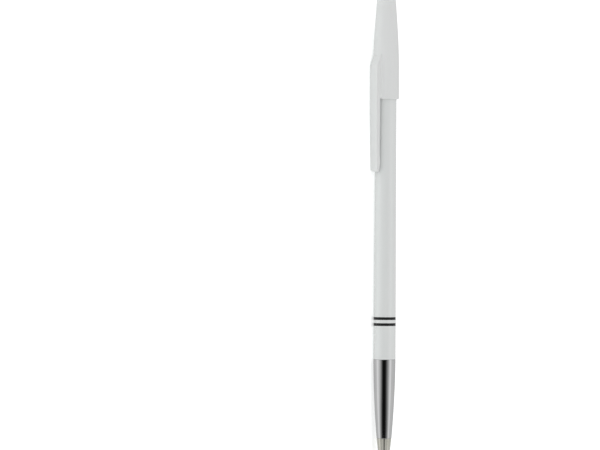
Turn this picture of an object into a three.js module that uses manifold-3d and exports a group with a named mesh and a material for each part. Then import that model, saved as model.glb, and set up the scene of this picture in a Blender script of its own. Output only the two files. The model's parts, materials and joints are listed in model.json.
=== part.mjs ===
// A stick ballpoint pen with its cap posted on the rear of the barrel, lying on a desk on its clip.
// Units are millimetres. The pieces are drawn round the X axis, with the barrel's front face at x = 0,
// the writing ball at +X and the clip towards -Z. At the end the pen is rolled and set down on z = 0.

import * as THREE from 'three';
import { mergeVertices } from 'three/addons/utils/BufferGeometryUtils.js';
import Module from 'manifold-3d';

const wasm = await Module();
wasm.setup();

// Barrel: a moulded tube that narrows towards its rear
const barrelLength = 101.5;
const barrelFrontDiameter = 7.45;
const barrelRearDiameter = 7.05;
const barrelBoreDiameter = 5.1;
const barrelFrontChamfer = 0.12;
const barrelRearChamfer = 0.15;

// Nose cone: a turned shell with a spigot that is pressed into the barrel
const noseLength = 26.3;
const noseBaseStep = 0.02;
const noseFrontDiameter = 4.98;
const noseSpigotLength = 8.5;
const noseSpigotDiameter = 6.0;
const noseBoreDiameter = 4.5;
const noseLandLength = 9.0;
const noseFrontEdge = 0.04;

// The nose falls away in a curve: this share of its drop is a straight taper, the rest is parabolic
const noseStraightShare = 0.2;

// Point holder: the refill's turned front, seated in the nose, with a spigot for the ink tube
const holderConeLength = 10.0;
const holderFrontDiameter = 2.85;
const holderShankDiameter = 3.4;
const holderShankLength = 9.4;
const holderSpigotLength = 6.0;
const holderChannelDiameter = 1.0;
const holderFrontEdge = 0.1;

// Refill tube, which stops short of the end plug, and its ink, which leaves the tube's rear empty
const tubeOuterDiameter = 3.1;
const tubeInnerDiameter = 2.2;
const tubeRearRoom = 2.5;
const tubeEmptyLength = 12.0;

// Ball and the socket that is crimped round it
const ballDiameter = 1.0;
const ballClearance = 0.03;
const ballShowing = 0.3;
const socketDiameter = 2.3;
const socketBuriedLength = 4.4;
const socketCylinderShowing = 0.6;
const socketConeLength = 2.1;
const socketLipWall = 0.11;
const socketLipLand = 0.05;
const socketFeedDiameter = 0.6;
const socketFeedLength = 2.6;
const socketRearBoreDiameter = 1.3;

// End plug: closes the barrel's rear and lets air in behind the ink
const plugHeadLength = 1.6;
const plugHeadRoom = 0.15;
const plugShankLength = 7.0;
const plugWall = 0.9;
const plugVentDiameter = 1.0;
const plugEdge = 0.25;

// Cap: a skirt with a slight draft, then an ogive that runs to a blunt, vented end
const capLength = 48.1;
const capMouthRoom = 0.22;
const capMouthWall = 0.63;
const capSkirtLength = 12.6;
const capSkirtDraft = 0.1;
const capEndDiameter = 3.45;
const capEndFillet = 0.9;
const capMouthFillet = 0.36;
const capMouthLeadIn = 0.16;
const capWall = 0.85;
const capEndWall = 1.3;
const capVentDiameter = 1.0;
const capEngagement = 14.8;
const capStopWidth = 0.3;
const capBoreDraftAngle = THREE.MathUtils.degToRad(0.6);

// The ogive's radius falls with this power of the way from the skirt to the end
const capOgivePower = 1.45;

// Clip: a tongue that grows out of the skirt and runs on past the mouth, along the barrel
const clipBarrelGap = 0.7;
const clipEndGap = 0.59;
const clipThickness = 1.4;
const clipEndThickness = 1.15;
const clipRootWidth = 4.0;
const clipEndWidth = 3.5;
const clipFullHeightAt = 11.0;
const clipRootSlopeLength = 4.0;
const clipRootSink = 0.45;
const clipReach = 24.2;
const clipStraightReach = 5.0;
const clipEndRounding = 0.9;
const clipOuterEdge = 0.4;
const clipInnerEdge = 0.2;
const clipBumpLength = 5.0;
const clipBumpHeight = 0.35;

// The first share of the root's slope is rounded, and so are the corners between clip and skirt,
// by a hollow fillet that runs out with the slope
const clipRootKneeShare = 0.18;
const clipSideFillet = 0.8;
const clipSideFilletEnd = 0.03;
const clipSideFilletRun = 0.86;
const clipSideFilletSink = 0.12;

// The clip's end is rounded through this turn, and its outside and inside share in the rounding
const clipEndTurn = THREE.MathUtils.degToRad(80);
const clipEndOuterShare = 0.75;
const clipEndInnerShare = 0.1;

// Clearances: round a pressed or sliding fit, and between two faces that meet
const fitClearance = 0.04;
const seatGap = 0.1;

// Facets round a full turn, and steps along a curved outline
const outerFacets = 48;
const innerFacets = 32;
const smallFacets = 24;
const curveSteps = 12;
const filletSteps = 4;
const edgeSteps = 3;

// Slivers thinner than this are cleaned from a joined solid
const sliverTolerance = 0.0005;

// Colours and finishes
const whitePlastic = { color: 0xe1e3e2, roughness: 0.38, metalness: 0 };
const chrome = { color: 0xc8cacb, roughness: 0.08, metalness: 1 };
const nickelSilver = { color: 0xd8d3c2, roughness: 0.22, metalness: 1 };
const tubePlastic = { color: 0xe9e7df, roughness: 0.3, metalness: 0 };
const blackInk = { color: 0x15161b, roughness: 0.25, metalness: 0 };
const carbide = { color: 0x8d9094, roughness: 0.15, metalness: 1 };

// Places along the pen that more than one piece uses
const barrelRear = -barrelLength;
const noseFront = noseLength;
const holderShoulder = noseFront + seatGap;
const holderFront = holderShoulder + holderConeLength;
const holderShankRear = holderShoulder - holderShankLength;
const socketLip = holderFront + socketCylinderShowing + socketConeLength;
const ballCentre = socketLip + ballShowing - ballDiameter / 2;
const capMouth = barrelRear + capEngagement;
const plugHeadFront = barrelRear - seatGap;
const plugShankFront = plugHeadFront + plugShankLength;
const tubeFront = holderShankRear - seatGap;
const tubeRear = plugShankFront + tubeRearRoom;
const capMouthBore = barrelRadiusAt(capMouth) + capMouthRoom;
const capStopAt = capEngagement + seatGap;
const capStopRadius = barrelRearDiameter / 2 - capStopWidth;

// Quarter arc of an outline from one point to another. It leaves the first point along the axis
// when axialFirst is true, and across the axis when it is false.
function quarterArc(from, to, axialFirst, steps = filletSteps) {
  const points = [];
  for (let i = 0; i <= steps; i += 1) {
    const angle = (i / steps) * (Math.PI / 2);
    const near = 1 - Math.cos(angle);
    const far = Math.sin(angle);
    const alongAxis = axialFirst ? far : near;
    const acrossAxis = axialFirst ? near : far;
    points.push([from[0] + (to[0] - from[0]) * alongAxis, from[1] + (to[1] - from[1]) * acrossAxis]);
  }
  return points;
}

// Samples a radius law between two places along the axis, both ends included
function sampleRadius(radiusAt, start, end, steps = curveSteps) {
  const points = [];
  for (let i = 0; i <= steps; i += 1) {
    const x = start + ((end - start) * i) / steps;
    points.push([x, radiusAt(x)]);
  }
  return points;
}

// Turns an outline of [x, radius] points round the X axis. The outline runs forward along the
// outside and back along the inside, and it closes on itself unless it starts and ends on the axis.
function revolve(outline, facets) {
  const points = outline.map(([x, radius]) => new THREE.Vector2(radius, x));
  const solidCore = outline[0][1] === 0 && outline[outline.length - 1][1] === 0;
  if (!solidCore) {
    points.push(points[0].clone());
  }
  return new THREE.LatheGeometry(points, facets).rotateZ(-Math.PI / 2);
}

// Skins a row of rings that have the same number of points, and closes both ends. The rings turn
// clockwise as seen from the last one.
function loft(rings) {
  const count = rings[0].length;
  const positions = rings.flat(2);
  const indices = [];
  for (let i = 0; i + 1 < rings.length; i += 1) {
    for (let j = 0; j < count; j += 1) {
      const next = (j + 1) % count;
      const a = i * count + j;
      const b = i * count + next;
      const c = (i + 1) * count + next;
      const d = (i + 1) * count + j;
      indices.push(a, c, b, a, d, c);
    }
  }
  const last = (rings.length - 1) * count;
  for (let j = 1; j + 1 < count; j += 1) {
    indices.push(0, j, j + 1);
    indices.push(last, last + j + 1, last + j);
  }
  const geometry = new THREE.BufferGeometry();
  geometry.setAttribute('position', new THREE.Float32BufferAttribute(positions, 3));
  geometry.setIndex(indices);
  return geometry;
}

function toSolid(geometry) {
  const bare = geometry.clone();
  bare.deleteAttribute('normal');
  bare.deleteAttribute('uv');
  const merged = mergeVertices(bare, 1e-4);
  const mesh = new wasm.Mesh({
    numProp: 3,
    vertProperties: merged.attributes.position.array,
    triVerts: new Uint32Array(merged.index.array),
  });
  return new wasm.Manifold(mesh);
}

function toGeometry(solid) {
  const mesh = solid.getMesh();
  const geometry = new THREE.BufferGeometry();
  geometry.setAttribute('position', new THREE.BufferAttribute(mesh.vertProperties, 3));
  geometry.setIndex(new THREE.BufferAttribute(mesh.triVerts, 1));
  return geometry;
}

function piece(name, geometry, finish) {
  geometry.computeVertexNormals();
  const mesh = new THREE.Mesh(geometry, new THREE.MeshStandardMaterial(finish));
  mesh.name = name;
  return mesh;
}

// Barrel: tapered outside, one bore from the rear, and a counterbore in front for the nose spigot
function barrelRadiusAt(x) {
  const front = barrelFrontDiameter / 2;
  const rear = barrelRearDiameter / 2;
  return front + ((rear - front) * x) / barrelRear;
}

function makeBarrel() {
  const bore = barrelBoreDiameter / 2;
  const socket = noseSpigotDiameter / 2 + fitClearance;
  const socketDepth = noseSpigotLength + seatGap;
  const outline = [
    [barrelRear, barrelRearDiameter / 2 - barrelRearChamfer],
    [barrelRear + barrelRearChamfer, barrelRadiusAt(barrelRear + barrelRearChamfer)],
    ...sampleRadius(barrelRadiusAt, barrelRear * 0.75, barrelRear * 0.25, 2),
    [-barrelFrontChamfer, barrelRadiusAt(-barrelFrontChamfer)],
    [0, barrelFrontDiameter / 2 - barrelFrontChamfer],
    [0, socket],
    [-socketDepth, socket],
    [-socketDepth, bore],
    [barrelRear, bore],
  ];
  return piece('barrel', revolve(outline, outerFacets), whitePlastic);
}

// Nose cone: outside as the barrel's line carried on in a curve, with a land that grips the holder
function noseRadiusAt(x) {
  const base = barrelFrontDiameter / 2 - noseBaseStep;
  const drop = base - noseFrontDiameter / 2;
  const t = x / noseLength;
  return base - drop * (noseStraightShare * t + (1 - noseStraightShare) * t * t);
}

function makeNoseCone() {
  const spigot = noseSpigotDiameter / 2;
  const bore = noseBoreDiameter / 2;
  const land = holderShankDiameter / 2 + fitClearance;
  const landRear = noseFront - noseLandLength;
  const spigotRear = -noseSpigotLength;
  const curveEnd = noseFront - noseFrontEdge;
  const endRadius = noseRadiusAt(curveEnd);
  const outline = [
    [spigotRear, spigot - noseFrontEdge],
    [spigotRear + noseFrontEdge, spigot],
    [seatGap, spigot],
    ...sampleRadius(noseRadiusAt, seatGap, curveEnd),
    ...quarterArc([curveEnd, endRadius], [noseFront, endRadius - noseFrontEdge], true).slice(1),
    [noseFront, land],
    [landRear, land],
    [landRear - (bore - land), bore],
    [spigotRear, bore],
  ];
  return piece('nose_cone', revolve(outline, outerFacets), chrome);
}

// Point holder: the front cone, a shank in the nose's land, and a spigot inside the ink tube
function makePointHolder() {
  const base = noseFrontDiameter / 2 - noseFrontEdge;
  const front = holderFrontDiameter / 2;
  const shank = holderShankDiameter / 2;
  const spigot = tubeInnerDiameter / 2 - fitClearance;
  const channel = holderChannelDiameter / 2;
  const socket = socketDiameter / 2 + fitClearance;
  const socketFloor = holderFront - socketBuriedLength - seatGap;
  const spigotRear = holderShankRear - holderSpigotLength;
  const curveEnd = holderFront - holderFrontEdge;
  const coneRadiusAt = (x) => base + ((front - base) * (x - holderShoulder)) / holderConeLength;
  const endRadius = coneRadiusAt(curveEnd);
  const outline = [
    [spigotRear, spigot - holderFrontEdge],
    [spigotRear + holderFrontEdge * 2, spigot],
    [holderShankRear, spigot],
    [holderShankRear, shank - holderFrontEdge],
    [holderShankRear + holderFrontEdge, shank],
    [holderShoulder, shank],
    ...sampleRadius(coneRadiusAt, holderShoulder, curveEnd, filletSteps),
    ...quarterArc([curveEnd, endRadius], [holderFront, front - holderFrontEdge], true).slice(1),
    [holderFront, socket],
    [socketFloor, socket],
    [socketFloor, channel],
    [spigotRear, channel],
  ];
  return piece('point_holder', revolve(outline, innerFacets), nickelSilver);
}

// Ball socket: a shank in the holder, a cone in front, and a lip turned in past the ball's middle
function makeBallSocket() {
  const seat = ballDiameter / 2 + ballClearance;
  const shank = socketDiameter / 2;
  const feed = socketFeedDiameter / 2;
  const rearBore = socketRearBoreDiameter / 2;
  const rear = holderFront - socketBuriedLength;
  const coneStart = holderFront + socketCylinderShowing;
  const feedRear = ballCentre - socketFeedLength;
  const lipAngle = Math.acos((socketLip - ballCentre) / seat);
  const feedAngle = Math.PI - Math.asin(feed / seat);
  const lipInner = seat * Math.sin(lipAngle);
  const seatArc = [];
  for (let i = 0; i <= curveSteps; i += 1) {
    const angle = lipAngle + ((feedAngle - lipAngle) * i) / curveSteps;
    seatArc.push([ballCentre + seat * Math.cos(angle), seat * Math.sin(angle)]);
  }
  const outline = [
    [rear, shank - holderFrontEdge],
    [rear + holderFrontEdge, shank],
    [coneStart, shank],
    [socketLip - socketLipWall, lipInner + socketLipWall + socketLipLand],
    [socketLip, lipInner + socketLipLand],
    ...seatArc,
    [feedRear, feed],
    [feedRear - (rearBore - feed), rearBore],
    [rear, rearBore],
  ];
  return piece('ball_socket', revolve(outline, smallFacets), nickelSilver);
}

function makeBall() {
  const radius = ballDiameter / 2;
  const outline = [];
  for (let i = 0; i <= curveSteps; i += 1) {
    const angle = Math.PI * (1 - i / curveSteps);
    const onAxis = i === 0 || i === curveSteps;
    outline.push([ballCentre + radius * Math.cos(angle), onAxis ? 0 : radius * Math.sin(angle)]);
  }
  return piece('ball', revolve(outline, smallFacets), carbide);
}

function makeRefillTube() {
  const outline = [
    [tubeRear, tubeOuterDiameter / 2],
    [tubeFront, tubeOuterDiameter / 2],
    [tubeFront, tubeInnerDiameter / 2],
    [tubeRear, tubeInnerDiameter / 2],
  ];
  return piece('refill_tube', revolve(outline, innerFacets), tubePlastic);
}

function makeInkColumn() {
  const front = holderShankRear - holderSpigotLength - seatGap;
  const rear = tubeRear + tubeEmptyLength;
  const radius = tubeInnerDiameter / 2 - fitClearance;
  const outline = [
    [rear, 0],
    [rear, radius],
    [front, radius],
    [front, 0],
  ];
  return piece('ink_column', revolve(outline, innerFacets), blackInk);
}

// End plug: a hollow shank in the bore, and a low head on the barrel's rear face
function makeEndPlug() {
  const shank = barrelBoreDiameter / 2 - fitClearance;
  const head = capStopRadius - plugHeadRoom;
  const inside = shank - plugWall;
  const vent = plugVentDiameter / 2;
  const headRear = plugHeadFront - plugHeadLength;
  const outline = [
    ...quarterArc([headRear, head - plugEdge], [headRear + plugEdge, head], false),
    [plugHeadFront, head],
    [plugHeadFront, shank],
    [plugShankFront - plugEdge * 2, shank],
    [plugShankFront, shank - plugEdge],
    [plugShankFront, inside],
    [plugHeadFront, inside],
    [plugHeadFront, vent],
    [headRear, vent],
  ];
  return piece('end_plug', revolve(outline, innerFacets), whitePlastic);
}

// Cap outline, by the distance back from the mouth
function capRadiusAt(fromMouth) {
  const mouth = capMouthBore + capMouthWall;
  const skirtEnd = mouth - capSkirtDraft;
  if (fromMouth <= capSkirtLength) {
    return mouth - (capSkirtDraft * fromMouth) / capSkirtLength;
  }
  const t = (fromMouth - capSkirtLength) / (capLength - capSkirtLength);
  return skirtEnd - (skirtEnd - capEndDiameter / 2) * t ** capOgivePower;
}

// Inside, the mouth's taper closes on the barrel's rear, a narrow stop meets it, and past the stop
// the bore keeps a small draft until the ogive's wall takes over
function capBoreRadiusAt(fromMouth) {
  const drafted = capStopRadius - (fromMouth - capStopAt) * Math.tan(capBoreDraftAngle);
  return Math.min(drafted, capRadiusAt(fromMouth) - capWall);
}

function makeCapShell() {
  const seat = barrelRearDiameter / 2 + fitClearance;
  const vent = capVentDiameter / 2;
  const insideEnd = capLength - capEndWall;
  const filletStart = capLength - capEndFillet;
  const filletRadius = capRadiusAt(filletStart);
  const outside = [
    ...quarterArc(
      [capLength, filletRadius - capEndFillet],
      [filletStart, filletRadius],
      false,
    ),
    ...sampleRadius(capRadiusAt, filletStart, capSkirtLength).slice(1),
    ...quarterArc(
      [capMouthFillet, capRadiusAt(capMouthFillet)],
      [0, capRadiusAt(0) - capMouthFillet],
      true,
    ),
  ];
  const inside = [
    [0, capMouthBore + capMouthLeadIn],
    [capMouthLeadIn, capMouthBore],
    [capStopAt, seat],
    ...sampleRadius(capBoreRadiusAt, capStopAt, insideEnd),
    [insideEnd, vent],
    [capLength, vent],
  ];
  const outline = [...outside, ...inside].map(([fromMouth, radius]) => [capMouth - fromMouth, radius]);
  return revolve(outline, outerFacets);
}

// Clip heights above the pen's axis: its outside over the skirt, and its inside past the mouth,
// which follows the barrel and closes on it towards the clip's end
const clipTopHeight = barrelRadiusAt(capMouth) + clipBarrelGap + clipThickness;

function clipInnerHeightAt(taper) {
  const atMouth = barrelRadiusAt(capMouth) + clipBarrelGap;
  const atEnd = barrelRadiusAt(capMouth + clipReach) + clipEndGap;
  return THREE.MathUtils.lerp(atMouth, atEnd, taper);
}

// Share of the root's drop at a share of its slope: a rounded start, then straight
function clipRootFall(way) {
  const knee = clipRootKneeShare;
  const fall = way < knee ? (way * way) / (2 * knee) : way - knee / 2;
  return fall / (1 - knee / 2);
}

// Clip section at a distance back from the mouth, negative past it. At the root its outside falls
// to the skirt, and its inside sinks into the skirt's wall.
function clipSection(fromMouth) {
  const straight = -clipStraightReach;
  const taper = THREE.MathUtils.clamp((straight - fromMouth) / (clipReach + straight), 0, 1);
  const fall = clipRootFall(Math.max((fromMouth - clipFullHeightAt) / clipRootSlopeLength, 0));
  const rootDrop = fall * (clipTopHeight - capRadiusAt(clipFullHeightAt) + clipOuterEdge);
  const bumpMiddle = -clipReach + clipEndRounding + clipBumpLength / 2;
  const bumpWay = Math.min(Math.abs(fromMouth - bumpMiddle) / (clipBumpLength / 2), 1);
  const bump = clipBumpHeight * Math.cos((bumpWay * Math.PI) / 2) ** 2;
  const innerHeight = clipInnerHeightAt(taper);
  return {
    fromMouth,
    outer: innerHeight + THREE.MathUtils.lerp(clipThickness, clipEndThickness, taper) - rootDrop,
    inner: innerHeight - bump - fall * clipRootSink,
    halfWidth: THREE.MathUtils.lerp(clipRootWidth, clipEndWidth, taper) / 2,
  };
}

// Rounded rectangle of the clip's section, in the plane across the pen
function clipRing({ fromMouth, outer, inner, halfWidth }) {
  const ring = [];
  const corners = [
    { y: halfWidth, height: outer, edge: clipOuterEdge, turn: 0 },
    { y: -halfWidth, height: outer, edge: clipOuterEdge, turn: 1 },
    { y: -halfWidth, height: inner, edge: clipInnerEdge, turn: 2 },
    { y: halfWidth, height: inner, edge: clipInnerEdge, turn: 3 },
  ];
  const room = Math.min(halfWidth, (outer - inner) / 2);
  for (const { y, height, edge, turn } of corners) {
    const radius = Math.min(edge, room * 0.9);
    const centreY = y - Math.sign(y) * radius;
    const centreHeight = height + (height === outer ? -radius : radius);
    for (let i = 0; i <= edgeSteps; i += 1) {
      const angle = (turn + i / edgeSteps) * (Math.PI / 2);
      const ringHeight = centreHeight + radius * Math.sin(angle);
      ring.push([capMouth - fromMouth, centreY + radius * Math.cos(angle), -ringHeight]);
    }
  }
  return ring;
}

function makeClip() {
  const roundingStart = -clipReach + clipEndRounding;
  const kneeLength = clipRootKneeShare * clipRootSlopeLength;
  const stations = [clipFullHeightAt + clipRootSlopeLength];
  for (let i = filletSteps; i > 0; i -= 1) {
    stations.push(clipFullHeightAt + (kneeLength * i) / filletSteps);
  }
  stations.push(clipFullHeightAt, 0, -clipStraightReach);
  const bumpStart = roundingStart + clipBumpLength;
  for (let i = 0; i <= filletSteps * 2; i += 1) {
    stations.push(THREE.MathUtils.lerp(bumpStart, roundingStart, i / (filletSteps * 2)));
  }
  const sections = stations.map(clipSection);
  const last = sections[sections.length - 1];
  for (let i = 1; i <= filletSteps; i += 1) {
    const angle = (i / filletSteps) * clipEndTurn;
    const drawnIn = clipEndRounding * (1 - Math.cos(angle));
    sections.push({
      fromMouth: roundingStart - (clipEndRounding * Math.sin(angle)) / Math.sin(clipEndTurn),
      outer: last.outer - drawnIn * clipEndOuterShare,
      inner: last.inner + drawnIn * clipEndInnerShare,
      halfWidth: last.halfWidth - drawnIn,
    });
  }
  return loft(sections.map(clipRing));
}

// Section of the fillet between the clip's side and the skirt: a hollow arc that touches both, closed
// inside the two of them. The side is 1 or -1.
function clipFilletRing(fromMouth, side) {
  const { outer, halfWidth } = clipSection(fromMouth);
  const skirt = capRadiusAt(fromMouth);
  const foot = Math.sqrt(skirt ** 2 - halfWidth ** 2);
  const wall = outer - clipOuterEdge - foot;
  const radius = THREE.MathUtils.clamp(wall, clipSideFilletEnd, clipSideFillet);
  const centreY = halfWidth + radius;
  const centreHeight = Math.sqrt((skirt + radius) ** 2 - centreY ** 2);
  const arcEnd = Math.atan2(-centreHeight, -centreY) + 2 * Math.PI;
  const section = [];
  for (let i = 0; i <= filletSteps; i += 1) {
    const angle = THREE.MathUtils.lerp(Math.PI, arcEnd, i / filletSteps);
    section.push([centreY + radius * Math.cos(angle), centreHeight + radius * Math.sin(angle)]);
  }
  const inSkirt = (skirt - clipSideFilletSink) / (skirt + radius);
  section.push([centreY * inSkirt, centreHeight * inSkirt]);
  section.push([halfWidth - clipSideFilletSink, foot - clipSideFilletSink]);
  section.push([halfWidth - clipSideFilletSink, centreHeight]);
  const ring = section.map(([y, height]) => [capMouth - fromMouth, side * y, -height]);
  return side > 0 ? ring.reverse() : ring;
}

function makeClipFillet(side) {
  const start = clipFullHeightAt + clipRootSlopeLength * clipSideFilletRun;
  const rings = [];
  for (let i = 0; i <= curveSteps; i += 1) {
    rings.push(clipFilletRing(THREE.MathUtils.lerp(start, capMouthFillet, i / curveSteps), side));
  }
  return loft(rings);
}

function makeCap() {
  const clip = toSolid(makeClip());
  const fillets = toSolid(makeClipFillet(1)).add(toSolid(makeClipFillet(-1)));
  const cap = toSolid(makeCapShell()).add(clip).add(fillets);
  return piece('cap', toGeometry(cap.simplify(sliverTolerance)), whitePlastic);
}

// Rest: the skirt and the barrel's front touch the desk, and so does the clip's outer edge, where it
// starts to taper. The pen's axis is a little lower there than at the mouth.
function restPitch() {
  return Math.asin((capRadiusAt(0) - barrelFrontDiameter / 2) / (barrelLength - capEngagement));
}

function restRoll() {
  const axisHeight = capRadiusAt(0) - clipStraightReach * Math.sin(restPitch());
  const edgeHeight = clipTopHeight - clipOuterEdge;
  const edgeSide = clipRootWidth / 2 - clipOuterEdge;
  const edgeReach = Math.hypot(edgeHeight, edgeSide);
  return Math.acos((axisHeight - clipOuterEdge) / edgeReach) + Math.atan2(edgeSide, edgeHeight);
}

const pen = new THREE.Group();
pen.add(
  makeBarrel(),
  makeNoseCone(),
  makePointHolder(),
  makeBallSocket(),
  makeBall(),
  makeRefillTube(),
  makeInkColumn(),
  makeEndPlug(),
  makeCap(),
);
pen.rotation.x = -restRoll();

const lyingPen = new THREE.Group();
lyingPen.add(pen);
lyingPen.rotation.y = restPitch();
lyingPen.updateMatrixWorld(true);

const box = new THREE.Box3().setFromObject(lyingPen, true);
const middle = box.getCenter(new THREE.Vector3());
lyingPen.position.set(-middle.x, -middle.y, -box.min.z);

export default lyingPen;
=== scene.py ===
"""Looks of a white stick ballpoint pen that lies on a pale desk with its cap posted on the rear.

Outlines are drawn in millimetres in the pen's own space: x runs along the pen from the barrel's front
face towards the tip, y across it, and z from the pen's axis towards the clip.
"""

import json
import math

import bmesh
import bpy
from mathutils import Matrix, Vector

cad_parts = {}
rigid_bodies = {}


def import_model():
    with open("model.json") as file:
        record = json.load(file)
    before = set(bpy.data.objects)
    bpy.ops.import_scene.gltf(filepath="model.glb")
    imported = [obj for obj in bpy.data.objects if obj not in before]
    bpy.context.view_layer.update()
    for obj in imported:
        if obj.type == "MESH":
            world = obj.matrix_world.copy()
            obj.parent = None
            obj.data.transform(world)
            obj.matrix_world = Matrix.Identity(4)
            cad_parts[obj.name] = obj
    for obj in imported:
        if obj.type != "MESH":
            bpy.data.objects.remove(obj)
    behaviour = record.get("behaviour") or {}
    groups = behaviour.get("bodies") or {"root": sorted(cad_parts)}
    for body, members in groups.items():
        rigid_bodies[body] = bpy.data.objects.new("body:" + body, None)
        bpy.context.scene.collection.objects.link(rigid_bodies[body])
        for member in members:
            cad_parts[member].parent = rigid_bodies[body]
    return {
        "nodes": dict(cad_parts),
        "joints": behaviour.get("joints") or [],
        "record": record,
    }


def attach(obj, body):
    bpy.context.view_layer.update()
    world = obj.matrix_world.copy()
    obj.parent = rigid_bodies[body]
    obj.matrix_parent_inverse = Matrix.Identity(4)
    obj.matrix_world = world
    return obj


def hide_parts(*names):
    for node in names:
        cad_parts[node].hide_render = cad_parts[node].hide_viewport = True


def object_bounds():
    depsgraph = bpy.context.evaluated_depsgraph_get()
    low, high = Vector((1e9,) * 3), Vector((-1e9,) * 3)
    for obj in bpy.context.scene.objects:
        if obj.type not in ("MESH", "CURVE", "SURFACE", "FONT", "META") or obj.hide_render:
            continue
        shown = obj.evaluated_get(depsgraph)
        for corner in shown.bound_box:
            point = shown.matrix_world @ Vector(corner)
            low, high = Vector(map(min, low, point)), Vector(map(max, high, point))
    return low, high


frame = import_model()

cad_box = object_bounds()

MM = 0.001
ROUND_SEGMENTS = 128
SMALL_SEGMENTS = 64
ARC_STEPS = 6
LENGTH_STEP = 2.5
FINE_STEP = 1.0
SHARP_ANGLE = math.radians(28)
ON_AXIS = 1e-6
SAME_POINT = 1e-5

# Length of the short faces beside a rounded edge
GUARD = 0.05

# Gap left between two pressed pieces where they meet
SEAM = 0.03

# Barrel
BARREL_FRONT_RADIUS = 3.725
BARREL_REAR_RADIUS = 3.525
BARREL_BORE_RADIUS = 2.55
BARREL_SOCKET_RADIUS = 3.04
BARREL_SOCKET_DEPTH = 8.6
BARREL_FRONT_EDGE = 0.12
BARREL_REAR_EDGE = 0.15

# Two printed rings, placed back from the barrel's front
RING_WIDTH = 0.93
RING_PLACES = (-13.65, -11.65)

# Nose cone: its radius falls by a straight share and a parabolic share
NOSE_BASE_RADIUS = 3.705
NOSE_FRONT_RADIUS = 2.49
NOSE_STRAIGHT_SHARE = 0.2
NOSE_SPIGOT_RADIUS = 3.0
NOSE_BORE_RADIUS = 2.25
NOSE_LAND_RADIUS = 1.74
NOSE_LAND_LENGTH = 9.0
NOSE_BASE_EDGE = 0.05
NOSE_FRONT_EDGE = 0.04

# Point holder
HOLDER_CONE_LENGTH = 10.0
HOLDER_BASE_RADIUS = 2.45
HOLDER_FRONT_RADIUS = 1.425
HOLDER_SHANK_RADIUS = 1.7
HOLDER_SHANK_LENGTH = 9.4
HOLDER_SPIGOT_RADIUS = 1.06
HOLDER_CHANNEL_RADIUS = 0.5
HOLDER_EDGE = 0.1

# Ball socket and ball
SOCKET_RADIUS = 1.15
SOCKET_ROOM = 0.04
SOCKET_CYLINDER_SHOWING = 0.6
SOCKET_LIP_EDGE = 0.05
SOCKET_LIP_WIDTH = 0.16
SOCKET_REAR_EDGE = 0.1
SOCKET_FEED_RADIUS = 0.3
SOCKET_FEED_LENGTH = 2.6
SOCKET_REAR_BORE_RADIUS = 0.65
BALL_RADIUS = 0.5
BALL_ROOM = 0.03
SOCKET_STEP = 0.6
SEAT_STEPS = 24
BALL_STEPS = 32

# Refill tube and ink
TUBE_INNER_RADIUS = 1.1
TUBE_OUTER_RADIUS = 1.55
INK_RADIUS = 1.06
MENISCUS_DEPTH = 0.6
MENISCUS_FLAT_RADIUS = INK_RADIUS / 3

# End plug
PLUG_HEAD_RADIUS = 3.075
PLUG_HEAD_LENGTH = 1.6
PLUG_SHANK_RADIUS = 2.51
PLUG_INNER_RADIUS = 1.61
PLUG_VENT_RADIUS = 0.5
PLUG_EDGE = 0.25

# Cap, by the distance back from its mouth
CAP_ENGAGEMENT = 14.8
CAP_STOP = 14.9
CAP_SKIRT_LENGTH = 12.6
CAP_MOUTH_ROOM = 0.22
CAP_MOUTH_WALL = 0.63
CAP_SKIRT_DRAFT = 0.1
CAP_END_RADIUS = 1.725
CAP_OGIVE_POWER = 1.45
CAP_END_FILLET = 0.9
CAP_MOUTH_FILLET = 0.36
CAP_LEAD_IN = 0.16
CAP_SEAT_RADIUS = 3.565
CAP_STOP_RADIUS = 3.225
CAP_BORE_DRAFT = math.radians(0.6)
CAP_WALL = 0.85
CAP_END_WALL = 1.3
CAP_VENT_RADIUS = 0.5
CAP_STEP = 1.2
CAP_BORE_STEP = 1.5
CAP_END_ARC_STEPS = 10
CAP_MOUTH_ARC_STEPS = 8

# Clip, by the distance back from the mouth and the height above the pen's axis
CLIP_GAP = 0.7
CLIP_END_GAP = 0.59
CLIP_THICKNESS = 1.4
CLIP_END_THICKNESS = 1.15
CLIP_ROOT_WIDTH = 4.0
CLIP_END_WIDTH = 3.5
CLIP_FULL_HEIGHT_AT = 11.0
CLIP_ROOT_SLOPE = 4.0
CLIP_ROOT_SINK = 0.45
CLIP_ROOT_KNEE = 0.18
CLIP_STRAIGHT_REACH = 5.0
CLIP_END_ROUNDING = 0.9
CLIP_END_TURN = math.radians(80)
CLIP_END_OUTER_SHARE = 0.75
CLIP_END_INNER_SHARE = 0.1
CLIP_END_STEPS = 8
CLIP_OUTER_EDGE = 0.4
CLIP_INNER_EDGE = 0.2
CLIP_EDGE_SHARE = 0.45
CLIP_BUMP_LENGTH = 5.0
CLIP_BUMP_HEIGHT = 0.35
CLIP_FILLET = 0.8
CLIP_FILLET_END = 0.03
CLIP_FILLET_RUN = 0.86
CLIP_FILLET_SINK = 0.12
CLIP_FILLET_BITE = 0.012
CLIP_FILLET_OVERLAP = 0.05
CLIP_FILLET_FACES = 8
CLIP_FILLET_STEP = 0.6
CLIP_SKIRT_STEP = 1.5
CLIP_TONGUE_STEP = 0.8
CLIP_ROOT_STEPS = 14


def lerp(a, b, t):
    return a + (b - a) * t


def clamp(value, low=0.0, high=1.0):
    return max(low, min(high, value))


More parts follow.
